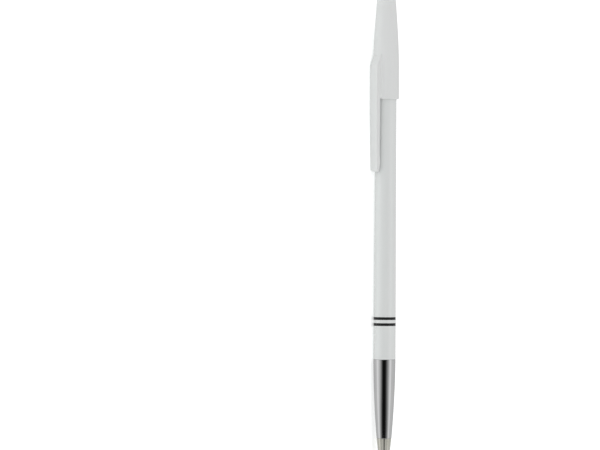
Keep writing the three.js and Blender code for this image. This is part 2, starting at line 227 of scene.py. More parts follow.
def pen_space():
    """The matrix from the pen's own space, in millimetres, to the frame, in metres."""
    slide = next(j for j in frame["joints"] if j["name"] == "cap_slide")
    mount = next(m for m in frame["record"]["mounts"] if m["name"] == "clip_face")
    tipward = -Vector(slide["axis"]).normalized()
    clipward = Vector(mount["axis"])
    clipward = (clipward - clipward.dot(tipward) * tipward).normalized()
    sideways = clipward.cross(tipward)
    to_local = Matrix((tipward, sideways, clipward))
    places = [to_local @ v.co for v in frame["nodes"]["barrel"].data.vertices]
    middle = [(min(p[i] for p in places) + max(p[i] for p in places)) / 2 for i in (1, 2)]
    front = max(p.x for p in places)
    origin = to_local.transposed() @ Vector((front, *middle))
    return Matrix.Translation(origin) @ to_local.transposed().to_4x4() @ Matrix.Scale(MM, 4)


PEN = pen_space()
TO_PEN = PEN.inverted()
TIPWARD = PEN.to_3x3().col[0].normalized()


def span(node):
    """A node's rear and front along the pen."""
    along = [(TO_PEN @ v.co).x for v in frame["nodes"][node].data.vertices]
    return min(along), max(along)


BARREL_REAR = span("barrel")[0]
CAP_REAR, CLIP_END = span("cap")
CAP_MOUTH = BARREL_REAR + CAP_ENGAGEMENT
CAP_LENGTH = CAP_MOUTH - CAP_REAR
CLIP_REACH = CLIP_END - CAP_MOUTH


# Outline helpers

def arc(start, end, axial_first, steps=ARC_STEPS):
    """Quarter arc from start to end, leaving start along the axis or across it."""
    points = []
    for i in range(steps + 1):
        angle = i / steps * math.pi / 2
        near, far = 1 - math.cos(angle), math.sin(angle)
        along, across = (far, near) if axial_first else (near, far)
        points.append((lerp(start[0], end[0], along), lerp(start[1], end[1], across)))
    return points


def sample(radius_at, start, end, step=LENGTH_STEP):
    """Points of a radius law from start to end."""
    count = max(2, math.ceil(abs(end - start) / step))
    places = [lerp(start, end, i / count) for i in range(count + 1)]
    return [(x, radius_at(x)) for x in places]


def guarded(radius_at, start, end, step=LENGTH_STEP):
    """Points of a radius law with a short face at each end, where a rounded edge's shading stops."""
    side = math.copysign(GUARD, end - start)
    between = sample(radius_at, start + side, end - side, step)
    return [(start, radius_at(start)), *between, (end, radius_at(end))]


def straight(radius):
    return lambda x: radius


def link(mesh, name):
    obj = bpy.data.objects.new(name, mesh)
    bpy.context.scene.collection.objects.link(obj)
    return obj


def finish_mesh(bm, name):
    """Turns a bmesh in the pen's space into an object in the frame."""
    bmesh.ops.recalc_face_normals(bm, faces=bm.faces)
    bm.transform(PEN)
    mesh = bpy.data.meshes.new(name)
    bm.to_mesh(mesh)
    bm.free()
    mesh.shade_smooth()
    mesh.set_sharp_from_angle(angle=SHARP_ANGLE)
    return link(mesh, name)


def without_repeats(outline):
    kept = [outline[0]]
    for point in outline[1:]:
        if math.dist(point, kept[-1]) > SAME_POINT:
            kept.append(point)
    if math.dist(kept[0], kept[-1]) < SAME_POINT:
        kept.pop()
    return kept


def revolved(outline, segments):
    """A closed outline of (x, radius) points turned round the pen's axis."""
    bm = bmesh.new()
    rings = []
    for x, radius in without_repeats(outline):
        if radius < ON_AXIS:
            rings.append([bm.verts.new((x, 0, 0))])
            continue
        turns = [2 * math.pi * i / segments for i in range(segments)]
        rings.append([bm.verts.new((x, radius * math.sin(a), radius * math.cos(a))) for a in turns])
    for ring, following in zip(rings, rings[1:] + rings[:1]):
        if len(ring) == 1 and len(following) == 1:
            continue
        for i in range(segments):
            j = (i + 1) % segments
            corners = [ring[i % len(ring)], ring[j % len(ring)]]
            corners += [following[j % len(following)], following[i % len(following)]]
            bm.faces.new(list(dict.fromkeys(corners)))
    return bm


def lofted(rings):
    """Closed rings with the same number of points, skinned and capped."""
    bm = bmesh.new()
    rows = [[bm.verts.new(point) for point in ring] for ring in rings]
    for row, following in zip(rows, rows[1:]):
        for i in range(len(row)):
            j = (i + 1) % len(row)
            bm.faces.new((row[i], row[j], following[j], following[i]))
    bm.faces.new(rows[0])
    bm.faces.new(rows[-1])
    return bm


# Barrel, nose and point

def barrel_radius(x):
    return lerp(BARREL_FRONT_RADIUS, BARREL_REAR_RADIUS, x / BARREL_REAR)


def make_barrel():
    front_start = -BARREL_FRONT_EDGE
    rear_end = BARREL_REAR + BARREL_REAR_EDGE
    ring_edges = sorted(place + side * RING_WIDTH / 2 for place in RING_PLACES for side in (-1, 1))
    stops = [rear_end, *ring_edges, front_start]
    outer = []
    for start, end in zip(stops, stops[1:]):
        outer += guarded(barrel_radius, start, end)
    rear_corner = (BARREL_REAR, barrel_radius(rear_end) - BARREL_REAR_EDGE)
    front_corner = (0, barrel_radius(front_start) - BARREL_FRONT_EDGE)
    outline = [
        *arc(rear_corner, (rear_end, barrel_radius(rear_end)), False),
        *outer,
        *arc((front_start, barrel_radius(front_start)), front_corner, True),
        (0, BARREL_SOCKET_RADIUS),
        (-BARREL_SOCKET_DEPTH, BARREL_SOCKET_RADIUS),
        *sample(straight(BARREL_BORE_RADIUS), -BARREL_SOCKET_DEPTH, BARREL_REAR),
    ]
    barrel = finish_mesh(revolved(outline, ROUND_SEGMENTS), "barrel_shell")
    for face in barrel.data.polygons:
        place = TO_PEN @ face.center
        on_ring = any(abs(place.x - middle) < RING_WIDTH / 2 for middle in RING_PLACES)
        outside = math.hypot(place.y, place.z) > BARREL_SOCKET_RADIUS
        face.material_index = int(on_ring and outside)
    return barrel


def make_nose_cone():
    rear, front = span("nose_cone")
    drop = NOSE_BASE_RADIUS - NOSE_FRONT_RADIUS

    def radius_at(x):
        t = x / front
        return NOSE_BASE_RADIUS - drop * lerp(t * t, t, NOSE_STRAIGHT_SHARE)

    base_end = SEAM + NOSE_BASE_EDGE
    curve_end = front - NOSE_FRONT_EDGE
    land_rear = front - NOSE_LAND_LENGTH
    spigot_start = rear + NOSE_FRONT_EDGE
    outline = [
        *arc((rear, NOSE_SPIGOT_RADIUS - NOSE_FRONT_EDGE), (spigot_start, NOSE_SPIGOT_RADIUS), False),
        *sample(straight(NOSE_SPIGOT_RADIUS), spigot_start, SEAM),
        *arc((SEAM, radius_at(base_end) - NOSE_BASE_EDGE), (base_end, radius_at(base_end)), False),
        *guarded(radius_at, base_end, curve_end, FINE_STEP),
        *arc((curve_end, radius_at(curve_end)), (front, radius_at(curve_end) - NOSE_FRONT_EDGE), True),
        *sample(straight(NOSE_LAND_RADIUS), front, land_rear),
        *sample(straight(NOSE_BORE_RADIUS), land_rear - (NOSE_BORE_RADIUS - NOSE_LAND_RADIUS), rear),
    ]
    return finish_mesh(revolved(outline, ROUND_SEGMENTS), "nose_shell")


def make_point_holder():
    rear, front = span("point_holder")
    shoulder = front - HOLDER_CONE_LENGTH
    shank_rear = shoulder - HOLDER_SHANK_LENGTH
    curve_end = front - HOLDER_EDGE
    socket = SOCKET_RADIUS + SOCKET_ROOM
    socket_floor = span("ball_socket")[0] - SEAM

    def radius_at(x):
        return lerp(HOLDER_BASE_RADIUS, HOLDER_FRONT_RADIUS, (x - shoulder) / HOLDER_CONE_LENGTH)

    seat = span("nose_cone")[1] + SEAM
    seat_edge = HOLDER_EDGE / 2
    shank_start = shank_rear + HOLDER_EDGE
    outline = [
        *arc((rear, HOLDER_SPIGOT_RADIUS - HOLDER_EDGE), (rear + HOLDER_EDGE, HOLDER_SPIGOT_RADIUS), False),
        *sample(straight(HOLDER_SPIGOT_RADIUS), rear + HOLDER_EDGE, shank_rear),
        *arc((shank_rear, HOLDER_SHANK_RADIUS - HOLDER_EDGE), (shank_start, HOLDER_SHANK_RADIUS), False),
        *sample(straight(HOLDER_SHANK_RADIUS), shank_start, seat),
        *arc((seat, HOLDER_BASE_RADIUS - seat_edge), (seat + seat_edge, HOLDER_BASE_RADIUS), False),
        *guarded(radius_at, shoulder + seat_edge, curve_end, FINE_STEP),
        *arc((curve_end, radius_at(curve_end)), (front, HOLDER_FRONT_RADIUS - HOLDER_EDGE), True),
        (front, socket),
        (socket_floor, socket),
        *sample(straight(HOLDER_CHANNEL_RADIUS), socket_floor, rear),
    ]
    return finish_mesh(revolved(outline, SMALL_SEGMENTS), "point_holder_turned")


def ball_middle():
    return span("ball")[1] - BALL_RADIUS


def make_ball_socket():
    rear, lip = span("ball_socket")
    cone_start = span("point_holder")[1] + SOCKET_CYLINDER_SHOWING
    middle = ball_middle()
    seat = BALL_RADIUS + BALL_ROOM
    lip_angle = math.acos((lip - middle) / seat)
    feed_angle = math.pi - math.asin(SOCKET_FEED_RADIUS / seat)
    lip_inner = seat * math.sin(lip_angle)
    seat_angles = [lerp(lip_angle, feed_angle, i / SEAT_STEPS) for i in range(SEAT_STEPS + 1)]
    lip_start = (lip - 2 * SOCKET_LIP_EDGE, lip_inner + SOCKET_LIP_WIDTH)
    feed_rear = middle - SOCKET_FEED_LENGTH
    outline = [
        *arc((rear, SOCKET_RADIUS - SOCKET_REAR_EDGE), (rear + SOCKET_REAR_EDGE, SOCKET_RADIUS), False),
        *sample(straight(SOCKET_RADIUS), rear + SOCKET_REAR_EDGE, cone_start, SOCKET_STEP),
        *arc(lip_start, (lip, lip_inner + SOCKET_LIP_EDGE), True),
        *[(middle + seat * math.cos(a), seat * math.sin(a)) for a in seat_angles],
        (feed_rear, SOCKET_FEED_RADIUS),
        (feed_rear - (SOCKET_REAR_BORE_RADIUS - SOCKET_FEED_RADIUS), SOCKET_REAR_BORE_RADIUS),
        (rear, SOCKET_REAR_BORE_RADIUS),
    ]
    return finish_mesh(revolved(outline, SMALL_SEGMENTS), "ball_socket_turned")


def make_ball():
    middle = ball_middle()
    outline = []
    for i in range(BALL_STEPS + 1):
        angle = math.pi * (1 - i / BALL_STEPS)
        radius = 0 if i in (0, BALL_STEPS) else BALL_RADIUS * math.sin(angle)
        outline.append((middle + BALL_RADIUS * math.cos(angle), radius))
    return finish_mesh(revolved(outline, SMALL_SEGMENTS), "writing_ball")


def make_refill_tube():
    rear, front = span("refill_tube")
    edge = (TUBE_OUTER_RADIUS - TUBE_INNER_RADIUS) / 4
    outline = [
        *arc((rear, TUBE_OUTER_RADIUS - edge), (rear + edge, TUBE_OUTER_RADIUS), False),
        *sample(straight(TUBE_OUTER_RADIUS), rear + edge, front - edge),
        *arc((front - edge, TUBE_OUTER_RADIUS), (front, TUBE_OUTER_RADIUS - edge), True),
        *sample(straight(TUBE_INNER_RADIUS), front, rear),
    ]
    return finish_mesh(revolved(outline, SMALL_SEGMENTS), "ink_tube")


def make_ink_column():
    rear, front = span("ink_column")
    hollow = rear + MENISCUS_DEPTH
    outline = [
        (hollow, 0),
        *arc((hollow, MENISCUS_FLAT_RADIUS), (rear, INK_RADIUS), False),
        *sample(straight(INK_RADIUS), rear, front),
        (front, 0),
    ]
    return finish_mesh(revolved(outline, SMALL_SEGMENTS), "ink_fill")


def make_end_plug():
    rear, shank_front = span("end_plug")
    head_front = rear + PLUG_HEAD_LENGTH
    shank_edge = shank_front - PLUG_EDGE
    outline = [
        *arc((rear, PLUG_HEAD_RADIUS - PLUG_EDGE), (rear + PLUG_EDGE, PLUG_HEAD_RADIUS), False),
        (head_front, PLUG_HEAD_RADIUS),
        *sample(straight(PLUG_SHANK_RADIUS), head_front, shank_edge, FINE_STEP),
        *arc((shank_edge, PLUG_SHANK_RADIUS), (shank_front, PLUG_SHANK_RADIUS - PLUG_EDGE), True),
        *sample(straight(PLUG_INNER_RADIUS), shank_front, head_front, FINE_STEP),
        (head_front, PLUG_VENT_RADIUS),
        *arc((rear + PLUG_EDGE, PLUG_VENT_RADIUS), (rear, PLUG_VENT_RADIUS + PLUG_EDGE), True),
    ]
    return finish_mesh(revolved(outline, ROUND_SEGMENTS), "end_plug_moulding")


# Cap and clip

CAP_MOUTH_BORE_RADIUS = barrel_radius(CAP_MOUTH) + CAP_MOUTH_ROOM
CAP_MOUTH_RADIUS = CAP_MOUTH_BORE_RADIUS + CAP_MOUTH_WALL
CLIP_INNER = barrel_radius(CAP_MOUTH) + CLIP_GAP
CLIP_END_INNER = barrel_radius(CLIP_END) + CLIP_END_GAP
CLIP_TOP = CLIP_INNER + CLIP_THICKNESS


def cap_radius(back):
    """The cap's outside: a skirt with a slight draft, then a long curve to the end."""
    if back <= CAP_SKIRT_LENGTH:
        return CAP_MOUTH_RADIUS - CAP_SKIRT_DRAFT * back / CAP_SKIRT_LENGTH
    t = (back - CAP_SKIRT_LENGTH) / (CAP_LENGTH - CAP_SKIRT_LENGTH)
    skirt_end = CAP_MOUTH_RADIUS - CAP_SKIRT_DRAFT
    return lerp(skirt_end, CAP_END_RADIUS, t ** CAP_OGIVE_POWER)


def cap_bore_radius(back):
    drafted = CAP_STOP_RADIUS - (back - CAP_STOP) * math.tan(CAP_BORE_DRAFT)
    return min(drafted, cap_radius(back) - CAP_WALL)


def make_cap_shell():
    fillet_start = CAP_LENGTH - CAP_END_FILLET
    fillet_radius = cap_radius(fillet_start)
    inside_end = CAP_LENGTH - CAP_END_WALL
    end_face = (CAP_LENGTH, fillet_radius - CAP_END_FILLET)
    mouth_start = (CAP_MOUTH_FILLET, cap_radius(CAP_MOUTH_FILLET))
    mouth_face = (0, cap_radius(0) - CAP_MOUTH_FILLET)

    def skirt_bore_radius(back):
        return lerp(CAP_MOUTH_BORE_RADIUS, CAP_SEAT_RADIUS, back / CAP_STOP)

    outside = [
        *arc(end_face, (fillet_start, fillet_radius), False, CAP_END_ARC_STEPS),
        *guarded(cap_radius, fillet_start, CAP_SKIRT_LENGTH, CAP_STEP),
        *guarded(cap_radius, CAP_SKIRT_LENGTH, CAP_MOUTH_FILLET, CAP_STEP),
        *arc(mouth_start, mouth_face, True, CAP_MOUTH_ARC_STEPS),
    ]
    inside = [
        *arc((0, CAP_MOUTH_BORE_RADIUS + CAP_LEAD_IN), (CAP_LEAD_IN, CAP_MOUTH_BORE_RADIUS), False),
        *sample(skirt_bore_radius, CAP_LEAD_IN, CAP_STOP),
        *sample(cap_bore_radius, CAP_STOP, inside_end, CAP_BORE_STEP),
        (inside_end, CAP_VENT_RADIUS),
        (CAP_LENGTH, CAP_VENT_RADIUS),
    ]
    return revolved([(CAP_MOUTH - back, radius) for back, radius in outside + inside], ROUND_SEGMENTS)


def root_fall(way):
    """Share of the clip root's drop at a share of its slope: a rounded start, then straight."""
    knee = CLIP_ROOT_KNEE
    fall = way * way / (2 * knee) if way < knee else way - knee / 2
    return fall / (1 - knee / 2)


def clip_section(back):
    """Outer height, inner height and half width of the clip, back from the mouth."""
    taper = clamp((-CLIP_STRAIGHT_REACH - back) / (CLIP_REACH - CLIP_STRAIGHT_REACH))
    height = lerp(CLIP_INNER, CLIP_END_INNER, taper)
    fall = root_fall(max((back - CLIP_FULL_HEIGHT_AT) / CLIP_ROOT_SLOPE, 0))
    full_drop = CLIP_TOP - cap_radius(CLIP_FULL_HEIGHT_AT) + CLIP_OUTER_EDGE
    bump_middle = -CLIP_REACH + CLIP_END_ROUNDING + CLIP_BUMP_LENGTH / 2
    bump_way = min(abs(back - bump_middle) / (CLIP_BUMP_LENGTH / 2), 1)
    bump = CLIP_BUMP_HEIGHT * math.cos(bump_way * math.pi / 2) ** 2
    outer = height + lerp(CLIP_THICKNESS, CLIP_END_THICKNESS, taper) - full_drop * fall
    inner = height - bump - CLIP_ROOT_SINK * fall
    return outer, inner, lerp(CLIP_ROOT_WIDTH, CLIP_END_WIDTH, taper) / 2


def clip_ring(back, outer, inner, half_width):
    """Rounded rectangle of the clip's section, with softer corners on its outside."""
    ring = []
    room = min(half_width, (outer - inner) * CLIP_EDGE_SHARE)
    corners = (
        (half_width, outer, CLIP_OUTER_EDGE),
        (-half_width, outer, CLIP_OUTER_EDGE),
        (-half_width, inner, CLIP_INNER_EDGE),
        (half_width, inner, CLIP_INNER_EDGE),
    )
    for turn, (y, height, edge) in enumerate(corners):
        radius = min(edge, room)
        centre_y = y - math.copysign(radius, y)
        centre_height = height - radius if height == outer else height + radius
        for i in range(ARC_STEPS + 1):
            angle = (turn + i / ARC_STEPS) * math.pi / 2
            ring.append((
                CAP_MOUTH - back,
                centre_y + radius * math.cos(angle),
                centre_height + radius * math.sin(angle),
            ))
    return ring


def places_between(start, end, step):
    """Even places from start to end, no more than a step apart."""
    return [place for place, _ in sample(straight(0), start, end, step)]


def make_clip():
    rings = []
    root_end = CLIP_FULL_HEIGHT_AT + CLIP_ROOT_SLOPE
    rounding_start = -CLIP_REACH + CLIP_END_ROUNDING
    stations = [lerp(root_end, CLIP_FULL_HEIGHT_AT, i / CLIP_ROOT_STEPS) for i in range(CLIP_ROOT_STEPS)]
    stations += places_between(CLIP_FULL_HEIGHT_AT, 0, CLIP_SKIRT_STEP)[:-1]
    stations += places_between(0, rounding_start, CLIP_TONGUE_STEP)
    for back in stations:
        rings.append(clip_ring(back, *clip_section(back)))
    outer, inner, half_width = clip_section(rounding_start)
    for i in range(1, CLIP_END_STEPS + 1):
        angle = i / CLIP_END_STEPS * CLIP_END_TURN
        drawn_in = CLIP_END_ROUNDING * (1 - math.cos(angle))
        back = rounding_start - CLIP_END_ROUNDING * math.sin(angle) / math.sin(CLIP_END_TURN)
        end_outer = outer - drawn_in * CLIP_END_OUTER_SHARE
        end_inner = inner + drawn_in * CLIP_END_INNER_SHARE
        rings.append(clip_ring(back, end_outer, end_inner, half_width - drawn_in))
    return lofted(rings)


def make_clip_fillet(side):
    """A bead with a hollow face that fills the corner between the clip's side and the skirt."""
    rings = []
    start, end = CAP_MOUTH_FILLET, CLIP_FULL_HEIGHT_AT + CLIP_ROOT_SLOPE * CLIP_FILLET_RUN
    for back in places_between(start, end, CLIP_FILLET_STEP):
        outer, inner, half_width = clip_section(back)
        skirt = cap_radius(back)
        foot = math.sqrt(skirt ** 2 - half_width ** 2)
        side_top = outer - min(CLIP_OUTER_EDGE, (outer - inner) * CLIP_EDGE_SHARE)
        radius = clamp(side_top - foot, CLIP_FILLET_END, CLIP_FILLET)
        centre_y = half_width + radius - CLIP_FILLET_BITE
        reach = skirt + radius - CLIP_FILLET_BITE
        centre_z = math.sqrt(reach ** 2 - centre_y ** 2)
        arc_end = math.atan2(-centre_z, -centre_y) % (2 * math.pi)
        angles = [lerp(math.pi, arc_end, i / CLIP_FILLET_FACES) for i in range(CLIP_FILLET_FACES + 1)]
        top = max(centre_z + CLIP_FILLET_BITE, min(inner + CLIP_INNER_EDGE + CLIP_FILLET_OVERLAP, side_top))
        ring = [(centre_y - radius, top)]
        ring += [(centre_y + radius * math.cos(a), centre_z + radius * math.sin(a)) for a in angles]
        in_skirt = (skirt - CLIP_FILLET_SINK) / reach
        ring.append((centre_y * in_skirt, centre_z * in_skirt))
        ring.append((half_width - CLIP_FILLET_SINK, foot - CLIP_FILLET_SINK))
        ring.append((half_width - CLIP_FILLET_SINK, top))
        rings.append([(CAP_MOUTH - back, side * y, z) for y, z in ring])
    return lofted(rings)


def make_cap():
    cap = finish_mesh(make_cap_shell(), "cap_moulding")
    parts = bpy.data.collections.new("cap_parts")
    drawn = {"clip": make_clip(), "fillet_a": make_clip_fillet(1), "fillet_b": make_clip_fillet(-1)}
    for name, bm in drawn.items():
        part = finish_mesh(bm, name)
        bpy.context.scene.collection.objects.unlink(part)
        parts.objects.link(part)
    bpy.context.scene.collection.children.link(parts)
    union = cap.modifiers.new("union", "BOOLEAN")
    union.operation = "UNION"
    union.operand_type = "COLLECTION"
    union.collection = parts
    union.solver = "EXACT"
    graph = bpy.context.evaluated_depsgraph_get()
    joined = bpy.data.meshes.new_from_object(cap.evaluated_get(graph))
    cap.modifiers.clear()
    cap.data = joined
    for part in list(parts.objects):
        bpy.data.objects.remove(part)
    bpy.data.collections.remove(parts)
    joined.name = "cap_moulding"
    joined.shade_smooth()
    joined.set_sharp_from_angle(angle=SHARP_ANGLE)
    return cap


# Materials: the noise scales are per metre along x, y and z, and the bump distances are in metres

class Nodes:
    """A short hand for building a node tree."""

    def __init__(self, tree):
        self.tree = tree
        tree.nodes.clear()

    def add(self, kind, inputs=None, **settings):
        node = self.tree.nodes.new(kind)
        for key, value in settings.items():
            setattr(node, key, value)
        for key, value in (inputs or {}).items():
            if isinstance(value, bpy.types.NodeSocket):
                self.tree.links.new(value, node.inputs[key])
            else:
                node.inputs[key].default_value = value
        return node

    def place(self, scale):
        """Object coordinates in metres, times a scale along each axis."""
        coordinates = self.add("ShaderNodeTexCoord")
        mapped = self.add("ShaderNodeMapping", {"Vector": coordinates.outputs["Object"], "Scale": scale})
        return mapped.outputs["Vector"]

    def noise(self, scale, detail=3.0, roughness=0.55):
        node = self.add(
            "ShaderNodeTexNoise",
            {"Vector": self.place(scale), "Scale": 1.0, "Detail": detail, "Roughness": roughness},
        )
        return node.outputs["Fac"]

    def spread(self, value, low, high, from_low=0.3, from_high=0.7):
        inputs = {"Value": value, "From Min": from_low, "From Max": from_high}
        inputs.update({"To Min": low, "To Max": high})
        return self.add("ShaderNodeMapRange", inputs).outputs["Result"]

    def between(self, factor, first, second):
        node = self.add("ShaderNodeMix", data_type="RGBA")
        self.tree.links.new(factor, node.inputs["Factor"])
        node.inputs["A"].default_value = (*first, 1)
        node.inputs["B"].default_value = (*second, 1)
        return node.outputs["Result"]

    def bump(self, height, distance, strength=1.0, normal=None):
        inputs = {"Height": height, "Distance": distance, "Strength": strength}
        if normal is not None:
            inputs["Normal"] = normal
        return self.add("ShaderNodeBump", inputs).outputs["Normal"]


def material(name):
    made = bpy.data.materials.new(name)
    made.use_nodes = True
    nodes = Nodes(made.node_tree)
    shader = nodes.add("ShaderNodeBsdfPrincipled")
    nodes.add("ShaderNodeOutputMaterial", {"Surface": shader.outputs["BSDF"]})
    return made, nodes, shader


def connect(nodes, shader, **sockets):
    """Sets or links the shader's sockets, whose names have underscores for spaces here."""
    for name, value in sockets.items():
        socket = shader.inputs[name.replace("_", " ")]
        if isinstance(value, bpy.types.NodeSocket):
            nodes.tree.links.new(value, socket)
        else:
            socket.default_value = value


def moulded_plastic(name, tones, gloss, grain, index, coat=0.0):
    """White moulded plastic: faint flow streaks along the pen and a fine satin grain.

    Gloss is the roughness from low to high, and grain is the height of the satin grain.
    """
    made, nodes, shader = material(name)
    streaks = nodes.noise((18, 420, 420), 4.0)
    clouds = nodes.noise((60, 160, 160), 2.0)
    satin = nodes.noise((5200, 5200, 5200), 2.0)
    colour = nodes.between(nodes.spread(streaks, 0, 1), *tones)
    roughness = nodes.spread(clouds, gloss[0], gloss[1])
    waves = nodes.bump(streaks, 0.00002, 0.35)
    surface = nodes.bump(satin, grain, 0.5, waves)
    connect(nodes, shader, Base_Color=colour, Roughness=roughness, Normal=surface, IOR=index)
    connect(nodes, shader, Coat_Weight=coat, Coat_Roughness=gloss[0])
    return made


def printed_black():
    """Thin printed ink: dense black, a little uneven and less glossy than the plastic under it."""
    made, nodes, shader = material("ring_print")
    patches = nodes.noise((900, 1800, 1800), 3.0)
    colour = nodes.between(nodes.spread(patches, 0, 1), (0.009, 0.010, 0.010), (0.016, 0.017, 0.017))
    roughness = nodes.spread(patches, 0.38, 0.5)
    surface = nodes.bump(patches, 0.000006, 0.5)
    connect(nodes, shader, Base_Color=colour, Roughness=roughness, Normal=surface, Specular_IOR_Level=0.25)
    return made


def polished_chrome():
    """Chrome plate over turned brass: nearly clean, with faint turning marks and hairlines."""
    made, nodes, shader = material("polished_chrome")
    turning = nodes.noise((2600, 60, 60), 2.0)
    hairlines = nodes.noise((90, 3600, 3600), 3.0)
    haze = nodes.noise((140, 260, 260), 2.0)
    colour = nodes.between(nodes.spread(haze, 0, 1), (0.61, 0.615, 0.62), (0.65, 0.652, 0.655))
    roughness = nodes.spread(hairlines, 0.04, 0.065)
    waves = nodes.bump(turning, 0.0000012, 0.6)
    surface = nodes.bump(hairlines, 0.0000006, 0.5, waves)
    connect(nodes, shader, Base_Color=colour, Metallic=1.0, Roughness=roughness, Normal=surface)
    connect(nodes, shader, Specular_Tint=(0.75, 0.75, 0.75, 1))
    return made


def turned_metal(name, tones, gloss):
    """Turned nickel silver: fine rings from the lathe, and a warm, slightly uneven tint."""
    made, nodes, shader = material(name)
    rings = nodes.noise((7000, 12, 12), 3.0)
    tarnish = nodes.noise((420, 700, 700), 3.0)
    colour = nodes.between(nodes.spread(tarnish, 0, 1), *tones)
    roughness = nodes.spread(rings, gloss[0], gloss[1])
    surface = nodes.bump(rings, 0.000001, 0.5)
    connect(nodes, shader, Base_Color=colour, Metallic=1.0, Roughness=roughness, Normal=surface)
    return made


def ground_carbide():
    """Ground and lapped carbide: dark grey, with fine pores that carry ink."""
    made, nodes, shader = material("ground_carbide")
    pores = nodes.noise((16000, 16000, 16000), 2.0)
    colour = nodes.between(nodes.spread(pores, 0, 1, 0.35, 0.6), (0.20, 0.20, 0.21), (0.42, 0.43, 0.44))
    roughness = nodes.spread(pores, 0.14, 0.24)
    surface = nodes.bump(pores, 0.000003, 0.6)
    connect(nodes, shader, Base_Color=colour, Metallic=1.0, Roughness=roughness, Normal=surface)
    return made


def clear_tube():
    """Natural, slightly milky tube with extrusion lines along it."""
    made, nodes, shader = material("milky_tube")
    lines = nodes.noise((6, 1500, 1500), 3.0)
    colour = nodes.between(nodes.spread(lines, 0, 1), (0.80, 0.78, 0.72), (0.86, 0.85, 0.80))
    roughness = nodes.spread(lines, 0.24, 0.36)
    surface = nodes.bump(lines, 0.000008, 0.5)
    connect(nodes, shader, Base_Color=colour, Roughness=roughness, Normal=surface, IOR=1.49)
    connect(nodes, shader, Transmission_Weight=0.45)
    return made


def thick_ink():
    """Thick black ink, glossy, with slow swirls."""
    made, nodes, shader = material("thick_ink")
    swirls = nodes.noise((300, 900, 900), 3.0)
    colour = nodes.between(nodes.spread(swirls, 0, 1), (0.006, 0.006, 0.009), (0.013, 0.013, 0.018))
    roughness = nodes.spread(swirls, 0.16, 0.28)
    surface = nodes.bump(swirls, 0.00001, 0.4)
    connect(nodes, shader, Base_Color=colour, Roughness=roughness, Normal=surface, IOR=1.5)
    return made


# Stage, light and camera

CAMERA_ELEVATION = math.radians(19.7)
CAMERA_DISTANCE = 1.5
CAMERA_ROLL = math.radians(-0.1)
LENS = 270
SENSOR = 36
CAMERA_NEAR = 0.05
CAMERA_FAR = 20

# The photograph's middle, along the pen from the barrel's front and across from the pen's axis
VIEW_ALONG = -44.83
VIEW_ACROSS = -28.4

VIEW_DIRECTION = Vector((0, math.cos(CAMERA_ELEVATION), -math.sin(CAMERA_ELEVATION)))
IMAGE_RIGHT = VIEW_DIRECTION.cross(Vector((-1, 0, 0))).normalized()


def make_camera():
    data = bpy.data.cameras.new("camera")
    data.lens = LENS
    data.sensor_width = SENSOR
    data.clip_start = CAMERA_NEAR
    data.clip_end = CAMERA_FAR
    camera = bpy.data.objects.new("camera", data)
    bpy.context.scene.collection.objects.link(camera)
    target = PEN @ Vector((VIEW_ALONG, 0, 0)) + IMAGE_RIGHT * VIEW_ACROSS * MM
    up = IMAGE_RIGHT.cross(VIEW_DIRECTION)
    turn = Matrix((IMAGE_RIGHT, up, -VIEW_DIRECTION)).transposed().to_4x4()
    place = Matrix.Translation(target - VIEW_DIRECTION * CAMERA_DISTANCE)
    camera.matrix_world = place @ turn @ Matrix.Rotation(CAMERA_ROLL, 4, "Z")
    bpy.context.scene.camera = camera


# Angles in degrees: the turn is measured round the pen from the camera's side, and the tilt along it.
# Each pair is where an edge starts and ends. The dark card behind the camera makes the chrome's black
# band, and its narrow tongue towards the tip makes the line on the point holder.
CARD_LEFT = (-60, -14)
CARD_RIGHT = (6, 65)
CARD_TIPWARD = (13.3, 13.8)
CARD_CAPWARD = (-30, -8)
CARD_DEPTH = 0.99
TONGUE_LEFT = (-12, -6)
TONGUE_RIGHT = (11, 17)
TONGUE_TIPWARD = (28, 34)
TONGUE_DEPTH = 0.77

# The card grows wider by this share between these tilts
CARD_WIDENING = 0.38
CARD_WIDENS = (4, 14)

# Two long softboxes beside the pen stand out a little from the even light all round, and both are
# shifted a few degrees away from the camera's right
SOFTBOX_NEAR = (44, 74)
SOFTBOX_FAR = (78, 90)
SOFTBOX_LIFT = 0.3
SOFTBOX_SHIFT = 7
WORLD_LEVEL = 0.7
WORLD_TIP_LEVEL = 0.95
TIP_TILT = (25, 60)


